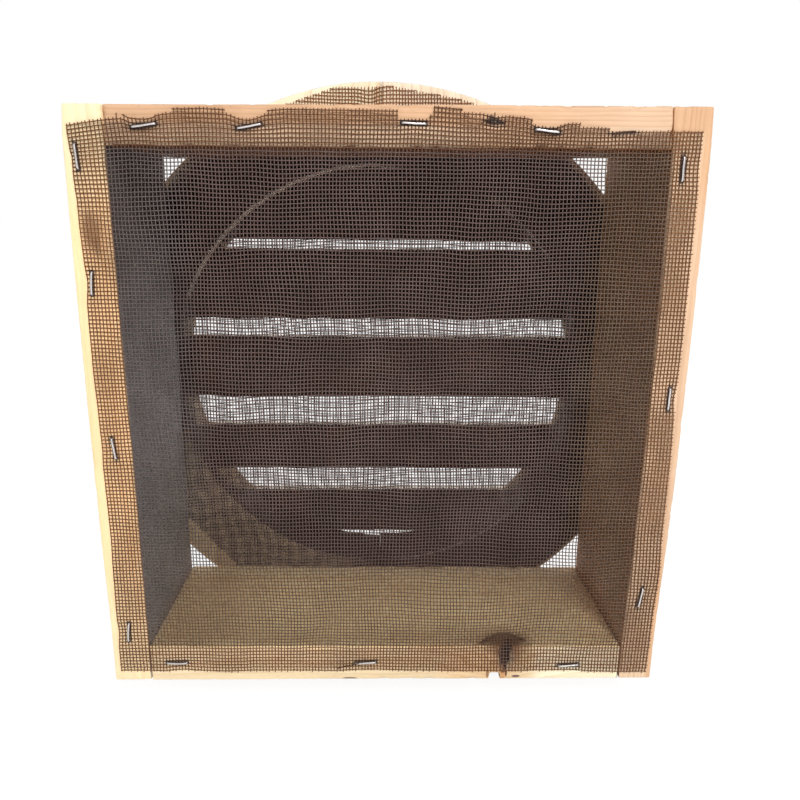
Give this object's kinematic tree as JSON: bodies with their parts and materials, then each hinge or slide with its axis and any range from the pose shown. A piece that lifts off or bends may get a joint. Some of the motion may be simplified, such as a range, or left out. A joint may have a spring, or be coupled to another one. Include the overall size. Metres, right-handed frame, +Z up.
{
  "type": "queen cage",
  "caption": "Square pine box with a stapled insect screen over its face, fixed on a round base ring with a second screen and slats across its back; it holds a queen bee.",
  "frame": {"origin": "on the axis of the round base, in the plane of the slats' backs, which is the face the part lies on", "axes": "+Z up as the part is shown standing, +X to the right seen from the screened face, +Y out of the back, so the front screen faces -Y"},
  "size_m": [0.32, 0.1372, 0.32],
  "materials": {
    "left_pine": "planed, unfinished, pale straight grain",
    "right_pine": "planed, unfinished, reddish straight grain",
    "top_pine": "planed, unfinished, orange-tan, splintered arris",
    "bottom_pine": "planed, unfinished, pale, with one loose knot broken out",
    "base_wood_left": "sawn round, unfinished",
    "base_wood_right": "sawn round, unfinished, darker board",
    "slat_wood": "rough lath, weathered",
    "front_mesh": "vinyl-coated woven insect screen, dark bronze, matt",
    "base_mesh": "vinyl-coated woven insect screen, dark bronze, matt",
    "staple_steel": "bright galvanised wire",
    "dark_steel": "darkened wire, driven under",
    "rust": "rusted wire",
    "nail_steel": "plain steel, dulled",
    "screw_zinc": "yellow zinc plate"
  },
  "bodies": {
    "root": {"left_board": "left_pine", "right_board": "right_pine", "top_board": "top_pine", "bottom_board": "bottom_pine", "front_screen": "front_mesh", "front_staples": "staple_steel", "sunk_staple": "dark_steel", "rusty_staple": "rust", "corner_nails": "nail_steel", "ring_left_half": "base_wood_left", "ring_right_half": "base_wood_right", "ring_screen": "base_mesh", "ring_screen_staples": "staple_steel", "slat_1_top": "slat_wood", "slat_2": "slat_wood", "slat_3_middle": "slat_wood", "slat_4": "slat_wood", "slat_5_bottom": "slat_wood", "slat_nails": "nail_steel", "box_screws": "screw_zinc"}
  },
  "joints": []
}
